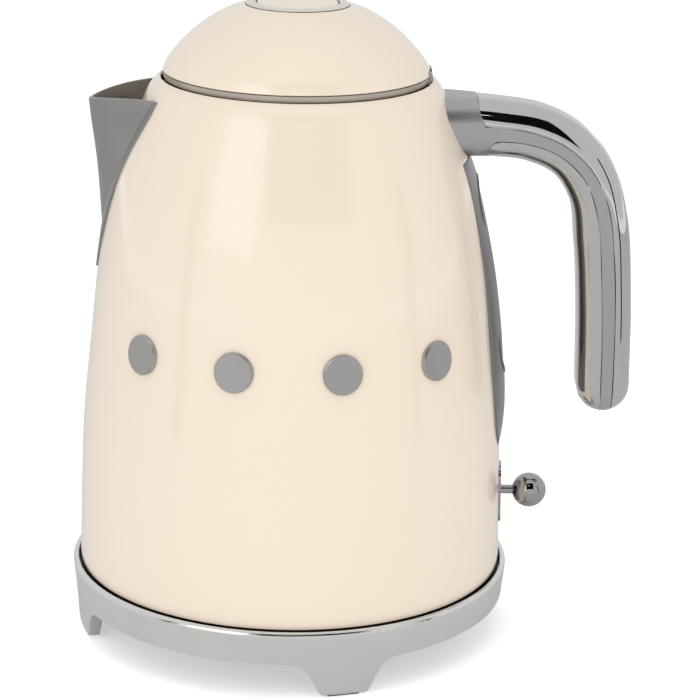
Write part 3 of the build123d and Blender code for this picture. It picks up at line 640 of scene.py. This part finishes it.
@dataclass
class Vessel:
    """Painted body, its trims and its underside."""

    outline: tuple[Point, ...] = (
        (83.1, 30.0), (82.6, 52.0), (81.5, 84.0), (78.5, 116.0), (73.9, 156.0),
        (67.7, 185.0), (59.7, 206.0), (55.6, 215.0), (53.1, 218.0), (51.6, 218.9),
    )
    hem: Point = (82.95, 27.5)
    wall: float = 1.0
    windows: tuple[Window, ...] = (
        Window(180.0, 13.5, 172.0, 205.0),
        Window(0.0, 4.5, 104.4, 179.6),
        Window(0.0, 1.5, 48.2, 57.4),
    )

    def build(self, maker: Maker) -> None:
        """Builds the vessel's pieces."""
        shell = turn(flat([self.hem]) + smooth_line(list(self.outline), 12))
        for window in self.windows:
            window.cut(shell)
        maker.piece(shell, "enamelled_body", Body.KETTLE, "body_shell", self.wall, 0.25)
        maker.smoothed("spout", "pouring_beak", Body.KETTLE)
        maker.smoothed("trim_studs", "front_studs", Body.KETTLE)
        maker.smoothed("mouth_ring", "filling_neck", Body.KETTLE)
        maker.smoothed("heated_floor", "water_floor", Body.KETTLE)
        maker.smoothed("bottom_cover", "underside_moulding", Body.KETTLE)
        maker.smoothed("kettle_connector", "connector_socket", Body.KETTLE)
        maker.smoothed("steam_tube", "steam_pipe", Body.KETTLE)


@dataclass
class StrainFilter:
    """Woven filter behind the spout."""

    place: Matrix
    half_width: float = 11.7
    low: float = -12.9
    high: float = 9.9
    pane_starts: tuple[float, float] = (-12.5, 0.8)
    pitch: float = 0.75
    yarn: float = 0.22

    def build(self, maker: Maker) -> None:
        """Weaves both panes as one net of fine yarn."""
        columns = round(self.half_width / self.pitch)
        rows = round((self.high - self.low) / self.pitch)
        net = bmesh.new()
        for side in self.pane_starts:
            sheet = bmesh.ops.create_grid(net, x_segments=columns, y_segments=rows, size=0.5)
            corners = sheet["verts"]
            bmesh.ops.scale(net, vec=(self.half_width, self.high - self.low, 1.0), verts=corners)
            middle = Matrix.Translation((0, side + self.half_width / 2, (self.low + self.high) / 2))
            upright = Matrix(((0, 0, 1), (1, 0, 0), (0, 1, 0))).to_4x4()
            bmesh.ops.transform(net, matrix=self.place @ middle @ upright, verts=corners)
        bmesh.ops.wireframe(net, faces=net.faces, thickness=self.yarn, use_replace=True,
                            use_boundary=True, use_even_offset=True)
        maker.piece(net, "woven_panes", Body.FILTER, "filter_mesh")
        maker.smoothed("filter_frame", "filter_holder", Body.FILTER)


@dataclass
class WaterGauge:
    """Water gauge under the handle, with a dark bead round its window that stands for the seal and
    also paints the shade of the recessed gap there.
    """

    wall: tuple[Point, ...] = (
        (83.1, 30.0), (82.6, 52.0), (81.5, 84.0), (78.5, 116.0), (73.9, 156.0),
        (67.7, 185.0), (59.7, 206.0),
    )
    ridge: tuple[Point, ...] = (
        (79.9, 69.0), (81.9, 76.5), (83.1, 84.0), (83.5, 92.0), (82.9, 105.2), (81.6, 121.3),
        (79.6, 137.2), (76.8, 153.1), (73.2, 168.8), (69.9, 181.0), (66.1, 191.0),
    )
    half: float = 21.0
    bead_half_width: float = 12.6
    bead_ends: Point = (104.0, 182.0)
    bead_radius: float = 0.42
    bead_sides: int = 12
    arc_steps: int = 32

    @staticmethod
    def reach(points: tuple[Point, ...], height: float) -> float:
        """Distance from the axis of an outline at a height."""
        for (near, low), (far, high) in zip(points, points[1:]):
            if low <= height <= high:
                return near + (far - near) * (height - low) / (high - low)
        return points[-1][0]

    def surface(self, across: float, height: float) -> Vector:
        """Point on the arched face of the surround."""
        crest = self.reach(self.ridge, height)
        wall = self.reach(self.wall, height)
        side = math.sqrt(wall ** 2 - self.half ** 2) + 0.3 * (crest - wall)
        rise = crest - side
        arch = (rise ** 2 + self.half ** 2) / (2 * rise)
        return Vector((crest - arch + math.sqrt(arch ** 2 - across ** 2), across, height))

    def bead(self) -> bmesh.types.BMesh:
        """Round bead that follows the window's outline over the arched face; it stands for the seal
        and is also painted shade along the recessed gap round the window.
        """
        low = self.bead_ends[0] + self.bead_half_width
        high = self.bead_ends[1] - self.bead_half_width
        path = []
        for middle, first in ((high, 0), (low, 180)):
            for step in range(self.arc_steps + 1):
                angle = math.radians(first + 180 * step / self.arc_steps)
                across = self.bead_half_width * math.cos(angle)
                path.append(self.surface(across, middle + self.bead_half_width * math.sin(angle)))
        form = bmesh.new()
        loops = []
        for index, point in enumerate(path):
            ahead = (path[(index + 1) % len(path)] - path[index - 1]).normalized()
            circle = bmesh.ops.create_circle(form, segments=self.bead_sides,
                                             radius=self.bead_radius)
            ring = circle["verts"]
            turned = ahead.to_track_quat("Z", "X").to_matrix().to_4x4()
            bmesh.ops.transform(form, matrix=Matrix.Translation(point) @ turned, verts=ring)
            loops.append(ring)
        for near, far in zip(loops, loops[1:] + loops[:1]):
            rims = {edge for corner in near + far for edge in corner.link_edges}
            ends = set(near) | set(far)
            pair = [edge for edge in rims if set(edge.verts) <= ends and self.same(edge, near, far)]
            bmesh.ops.bridge_loops(form, edges=pair)
        bmesh.ops.recalc_face_normals(form, faces=form.faces)
        return form

    @staticmethod
    def same(edge: bmesh.types.BMEdge, near: list[bmesh.types.BMVert],
             far: list[bmesh.types.BMVert]) -> bool:
        """Whether both ends of an edge lie on one ring."""
        ends = set(edge.verts)
        return ends <= set(near) or ends <= set(far)

    def build(self, maker: Maker) -> None:
        """Builds the gauge's pieces."""
        maker.smoothed("gauge_frame", "gauge_surround", Body.KETTLE)
        maker.smoothed("gauge_window", "gauge_glazing", Body.KETTLE)
        # The dark bead stands for the gauge seal and also serves as painted shade along the gap
        # between window and surround.
        maker.piece(self.bead(), "window_gap_shade_bead", Body.KETTLE, "gauge_seal")


@dataclass
class Handle:
    """Handle of a satin core between two polished mouldings."""

    half_width: float = 12.6
    rounding: float = 8.6
    seam: float = 0.25
    tip_centre: Point = (121.1, 100.3)
    tip_radius: float = 10.45
    outer: tuple[Point, ...] = (
        (50.0, 214.0), (77.7, 212.2), (93.0, 209.9), (106.4, 204.0), (115.6, 196.0),
        (122.7, 184.8), (127.2, 169.2), (130.4, 138.0), (131.5, 100.3),
    )
    inner: tuple[Point, ...] = (
        (50.0, 191.0), (74.5, 190.5), (88.0, 189.0), (98.6, 184.0), (104.8, 174.5),
        (107.6, 157.5), (109.6, 133.7), (110.7, 100.3),
    )
    cover_seam: tuple[Point, ...] = (
        (71.6, 203.2), (88.7, 201.3), (102.6, 195.8), (112.0, 187.4), (118.6, 174.9),
        (122.2, 154.3), (124.0, 124.0), (124.3, 100.3), (124.3, 90.5),
    )
    grip_seam: tuple[Point, ...] = (
        (77.6, 197.8), (86.0, 197.3), (100.4, 192.4), (110.2, 183.0), (115.2, 170.0),
        (118.0, 146.0), (119.4, 122.0), (119.8, 100.3), (119.9, 90.0),
    )
    cover_start: tuple[Point, ...] = ((68.6, 212.7), (69.2, 209.0))
    grip_start: tuple[Point, ...] = ((73.4, 190.6), (73.4, 193.8), (74.6, 196.7))

    def half_width_at(self, depth: float) -> float:
        """Half-width of the rounded bar at a distance in from its side outline."""
        inset = self.rounding - min(depth, self.rounding)
        return self.half_width - self.rounding + math.sqrt(self.rounding ** 2 - inset ** 2)

    def moulding(self, seam: list[Vector], rim: list[Vector], rows: int = 16) -> bmesh.types.BMesh:
        """Solid between a seam and the nearest stretch of the side outline.

        Args:
            seam: Seam in the plane y = 0.
            rim: Side outline that the moulding reaches.
            rows: Steps from the rim to the seam.

        Returns:
            The closed moulding.
        """
        stations = len(seam) - 1
        form = bmesh.new()
        bmesh.ops.create_grid(form, x_segments=rows, y_segments=stations, size=0.5)
        feet = [nearest(rim, point) for point in seam]
        for corner in form.verts:
            row = round((corner.co.x + 0.5) * rows)
            station = round((corner.co.y + 0.5) * stations)
            span = seam[station] - feet[station]
            reach = max(span.length - self.seam, 0.0)
            depth = reach * (1 - math.cos(row / rows * math.pi / 2))
            along = span.normalized() * depth
            corner.co = feet[station] + along + Vector((0, self.half_width_at(depth), 0))
        bmesh.ops.remove_doubles(form, verts=form.verts, dist=0.002)
        other = bmesh.ops.duplicate(form, geom=[*form.verts, *form.edges, *form.faces])
        mirrored = [item for item in other["geom"] if isinstance(item, bmesh.types.BMVert)]
        bmesh.ops.scale(form, vec=(1, -1, 1), verts=mirrored)
        rims = [edge for edge in form.edges if edge.is_boundary]
        bmesh.ops.bridge_loops(form, edges=rims)
        bmesh.ops.recalc_face_normals(form, faces=form.faces)
        return form

    def build(self, maker: Maker) -> None:
        """Builds the handle's pieces."""
        outside = smooth_line(list(self.outer), 14)
        outside += round_corner(self.tip_centre, self.tip_radius, 0, -90, 24)[1:]
        cover = smooth_line([*self.cover_start, self.cover_seam[0]], 10)[:-1]
        cover += smooth_line(list(self.cover_seam), 14)
        maker.piece(self.moulding(cover, outside), "polished_cover", Body.KETTLE,
                    "handle_outer_cover", 0.0, 0.15)
        inside = smooth_line(list(self.inner), 14)
        inside += round_corner(self.tip_centre, self.tip_radius, 180, 270, 24)[1:]
        grip = smooth_line([*self.grip_start, self.grip_seam[0]], 8)[:-1]
        grip += smooth_line(list(self.grip_seam), 14)
        maker.piece(self.moulding(grip, inside), "polished_grip", Body.KETTLE,
                    "handle_inner_grip", 0.0, 0.15)
        maker.smoothed("handle_core", "satin_core", Body.KETTLE)


@dataclass
class Switch:
    """Ball-ended switch lever."""

    height: float = 54.2
    ball_centre: float = 94.55
    ball_radius: float = 6.8
    bore_radius: float = 1.82
    bore_end: float = -5.0
    stem: tuple[Point, ...] = ((0.0, 76.0), (1.8, 76.0), (1.8, 89.4), (0.0, 89.4))

    def lying(self) -> Matrix:
        """Turn and shift that lay an upright shape along the stem."""
        return Matrix.Translation((0, 0, self.height)) @ Matrix.Rotation(math.pi / 2, 4, "Y")

    def build(self, maker: Maker) -> None:
        """Builds the switch's pieces."""
        stem = turn(flat(list(self.stem)))
        bmesh.ops.transform(stem, matrix=self.lying(), verts=stem.verts)
        maker.piece(stem, "polished_stem", Body.LEVER, "lever_stem")
        seat = math.asin(self.bore_radius / self.ball_radius)
        arc = round_corner((0.0, 0.0), self.ball_radius, 90, math.degrees(seat) - 90, 48)
        bore = flat([(self.bore_radius, self.bore_end), (0.0, self.bore_end)])
        ball = turn(arc + bore)
        shift = Matrix.Translation((self.ball_centre, 0, 0)) @ self.lying()
        bmesh.ops.transform(ball, matrix=shift, verts=ball.verts)
        maker.piece(ball, "polished_ball", Body.LEVER, "lever_ball")
        maker.smoothed("switch_plate", "switch_surround", Body.KETTLE)


@dataclass
class Lid:
    """Domed lid with its seam band, liner and sprung button."""

    outline: tuple[Point, ...] = (
        (50.9, 221.7), (49.8, 224.0), (45.3, 230.0), (39.25, 236.0), (33.9, 240.0),
        (26.8, 244.0), (19.8, 246.4),
    )
    hinge_gap: Window = Window(0.0, 10.5, 210.0, 223.1)
    top: float = 248.0
    button_radius: float = 15.4
    crown_radius: float = 14.8
    crown_drop: float = 0.75
    crown_steps: int = 24
    edge_centre: Point = (14.7, 246.55)

    def button(self) -> list[Vector]:
        """Half outline of the button, from the middle of its top to the middle of its hollow."""
        shares = [step / self.crown_steps for step in range(self.crown_steps)]
        crown = [Vector((self.crown_radius * share, 0, self.top - self.crown_drop * share ** 2))
                 for share in shares]
        edge = round_corner(self.edge_centre, self.button_radius - self.edge_centre[0], 84, 0)
        hollow = flat([(self.button_radius, 241.6), (14.2, 241.6), (14.2, 246.0), (0.0, 246.8)])
        return crown + edge + hollow

    def bezel(self) -> list[Vector]:
        """Closed outline of the ring round the button."""
        crest = smooth_line([(19.6, 246.75), (18.9, 247.12), (17.8, 247.35), (16.6, 247.35),
                             (15.9, 247.15)], 5)
        return crest + flat([(15.9, 238.0), (16.9, 238.0), (16.9, 246.4), (19.6, 246.55)])

    def build(self, maker: Maker) -> None:
        """Builds the lid's pieces."""
        dome = turn(smooth_line(list(self.outline), 12))
        self.hinge_gap.cut(dome)
        maker.piece(dome, "enamelled_dome", Body.LID, "lid_dome", 1.0, 0.2)
        maker.piece(turn(self.button()), "enamelled_button", Body.BUTTON, "button_cap", 0.0, 0.12)
        maker.piece(turn(self.bezel(), closed=True), "button_ring", Body.LID, "button_bezel")
        maker.smoothed("lid_seam_band", "seam_band", Body.LID)
        maker.smoothed("lid_liner", "lid_underside", Body.LID)
        maker.smoothed("lid_seal", "lip_seal", Body.LID)
        spring = maker.smoothed("button_spring", "return_spring", Body.LID)
        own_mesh(spring)


# ---------------------------------------------------------------- studio
@dataclass(frozen=True)
class SoftBox:
    """Large soft light."""

    name: str
    place: tuple[float, float, float]
    aim: tuple[float, float, float]
    size: tuple[float, float]
    power: float
    seen_in_gloss: bool


@dataclass(frozen=True)
class Card:
    """Flat card that shows only in reflections, by its middle, aim, size, tone and glow."""

    name: str
    place: tuple[float, float, float]
    aim: tuple[float, float, float]
    size: tuple[float, float]
    tone: Colour
    glow: float


@dataclass
class Studio:
    """Pale floor, soft lights and dark cards that give polished metal its contrast."""

    floor_half: float = 3.0
    sky: float = 0.6
    sky_in_gloss: float = 0.76
    lights: tuple[SoftBox, ...] = (
        SoftBox("left_softbox", (-0.9, -1.2, 0.9), (0, 0, 0.12), (0.9, 1.3), 3.6, True),
        SoftBox("right_softbox", (1.0, -1.1, 0.8), (0, 0, 0.12), (0.7, 1.2), 2.5, False),
        SoftBox("top_softbox", (0.0, -0.3, 1.5), (0, 0, 0.1), (1.2, 1.2), 6.0, False),
    )
    cards: tuple[Card, ...] = (
        Card("grey_floor_card", (0, 0, 0.0004), (0, 0, 1), (3.0, 3.0), colour(196, 196, 196), 0.3),
        Card("black_front_card", (0.12, -0.62, 0.62), (0.03, 0, 0.2), (0.74, 0.62),
             colour(10, 10, 10), 0.0),
        Card("strip_light_card", (0.05, -0.5, 0.56), (0.06, 0, 0.2), (0.2, 0.02),
             colour(255, 255, 255), 1.5),
        Card("black_right_card", (0.5, -0.2, 0.1), (0.12, 0, 0.1), (0.05, 0.5),
             colour(10, 10, 10), 0.0),
        Card("black_left_card", (-0.5, -0.3, 0.1), (-0.1, 0, 0.1), (0.06, 0.5),
             colour(10, 10, 10), 0.0),
    )

    def build(self, maker: Maker) -> None:
        """Builds the studio round the kettle."""
        view = bpy.context.scene.view_settings
        view.view_transform = "Standard"
        self.lay_floor(maker)
        self.light_world()
        for light in self.lights:
            self.hang(light)
        for card in self.cards:
            self.stand_up(card)

    def lay_floor(self, maker: Maker) -> None:
        """Lays the floor sheet."""
        form = bmesh.new()
        bmesh.ops.create_grid(form, x_segments=8, y_segments=8, size=self.floor_half)
        self.staged(form, "studio_floor", maker.materials["floor"])

    def staged(self, form: bmesh.types.BMesh, name: str,
               material: bpy.types.Material) -> bpy.types.Object:
        """Turns a shape into an object of the studio.

        Args:
            form: Shape in metres; it is used up.
            name: Name of the object.
            material: Its material.

        Returns:
            The object.
        """
        mesh = bpy.data.meshes.new(name)
        form.to_mesh(mesh)
        form.free()
        made = bpy.data.objects.new(name, mesh)
        mesh.materials.append(material)
        bpy.context.scene.collection.objects.link(made)
        return made

    def light_world(self) -> None:
        """Lights everything from a plain white surround that is greyer in polished faces."""
        world = bpy.data.worlds.new("white_surround")
        world.use_nodes = True
        nodes = world.node_tree.nodes
        links = world.node_tree.links
        ray = nodes.new("ShaderNodeLightPath")
        strength = nodes.new("ShaderNodeMapRange")
        strength.inputs["To Min"].default_value = self.sky
        strength.inputs["To Max"].default_value = self.sky_in_gloss
        back = nodes["Background"]
        back.inputs["Color"].default_value = (1.0, 1.0, 1.0, 1.0)
        links.new(ray.outputs["Is Glossy Ray"], strength.inputs["Value"])
        links.new(strength.outputs["Result"], back.inputs["Strength"])
        bpy.context.scene.world = world

    def hang(self, light: SoftBox) -> None:
        """Hangs one soft light."""
        data = bpy.data.lights.new(light.name, "AREA")
        data.shape = "RECTANGLE"
        data.size, data.size_y = light.size
        data.energy = light.power
        made = bpy.data.objects.new(light.name, data)
        bpy.context.scene.collection.objects.link(made)
        made.location = light.place
        made.visible_glossy = light.seen_in_gloss
        facing = Vector(light.aim) - Vector(light.place)
        made.rotation_euler = facing.to_track_quat("-Z", "Y").to_euler()

    def stand_up(self, card: Card) -> None:
        """Stands up one card that shows only in reflections."""
        form = bmesh.new()
        bmesh.ops.create_grid(form, x_segments=1, y_segments=1, size=0.5)
        bmesh.ops.scale(form, vec=(card.size[0], card.size[1], 1.0), verts=form.verts)
        facing = Vector(card.aim) - Vector(card.place)
        turned = facing.to_track_quat("Z", "Y").to_matrix().to_4x4()
        pose = Matrix.Translation(card.place) @ turned
        bmesh.ops.transform(form, matrix=pose, verts=form.verts)
        paper = StudioPaper(card.name + "_paper", card.tone, card.glow).make()
        made = self.staged(form, card.name, paper)
        made.visible_camera = False
        made.visible_diffuse = False
        made.visible_shadow = False
        made.visible_transmission = False


@dataclass
class Camera:
    """Long lens a little above the kettle."""

    place: tuple[float, float, float] = (0.018937, -0.968136, 0.411467)
    pitch: float = 0.30123
    yaw: float = 0.00354
    roll: float = 0.02144
    lens: float = 133.41

    def build(self) -> None:
        """Places the camera and makes it the scene's own."""
        ahead = Vector((math.sin(self.yaw) * math.cos(self.pitch),
                        math.cos(self.yaw) * math.cos(self.pitch), -math.sin(self.pitch)))
        level = Vector((math.cos(self.yaw), -math.sin(self.yaw), 0.0))
        above = level.cross(ahead)
        right = math.cos(self.roll) * level + math.sin(self.roll) * above
        up = math.cos(self.roll) * above - math.sin(self.roll) * level
        data = bpy.data.cameras.new("studio_camera")
        data.lens = self.lens
        data.sensor_width = 36.0
        data.clip_start = 0.05
        made = bpy.data.objects.new("studio_camera", data)
        bpy.context.scene.collection.objects.link(made)
        turned = Matrix((right, up, -ahead)).transposed().to_4x4()
        made.matrix_world = Matrix.Translation(self.place) @ turned
        bpy.context.scene.camera = made


def main() -> None:
    """Builds every sub-assembly in order, then the studio and the camera."""
    logging.basicConfig(level=logging.INFO, format="%(name)s: %(message)s")
    materials = {slot: finish.make() for slot, finish in FINISHES.items()}
    materials["floor"] = StudioPaper("floor_paper", FLOOR_TONE).make()
    maker = Maker(materials)
    Camera().build()
    PowerBase().build(maker)
    Vessel().build(maker)
    lean = Matrix.Rotation(FILTER_LEAN, 4, "Y")
    StrainFilter(Matrix.Translation(FILTER_MIDDLE) @ lean).build(maker)
    WaterGauge().build(maker)
    Handle().build(maker)
    Switch().build(maker)
    Lid().build(maker)
    maker.dress_frame()
    Studio().build(maker)


if __name__ == "__main__":
    main()
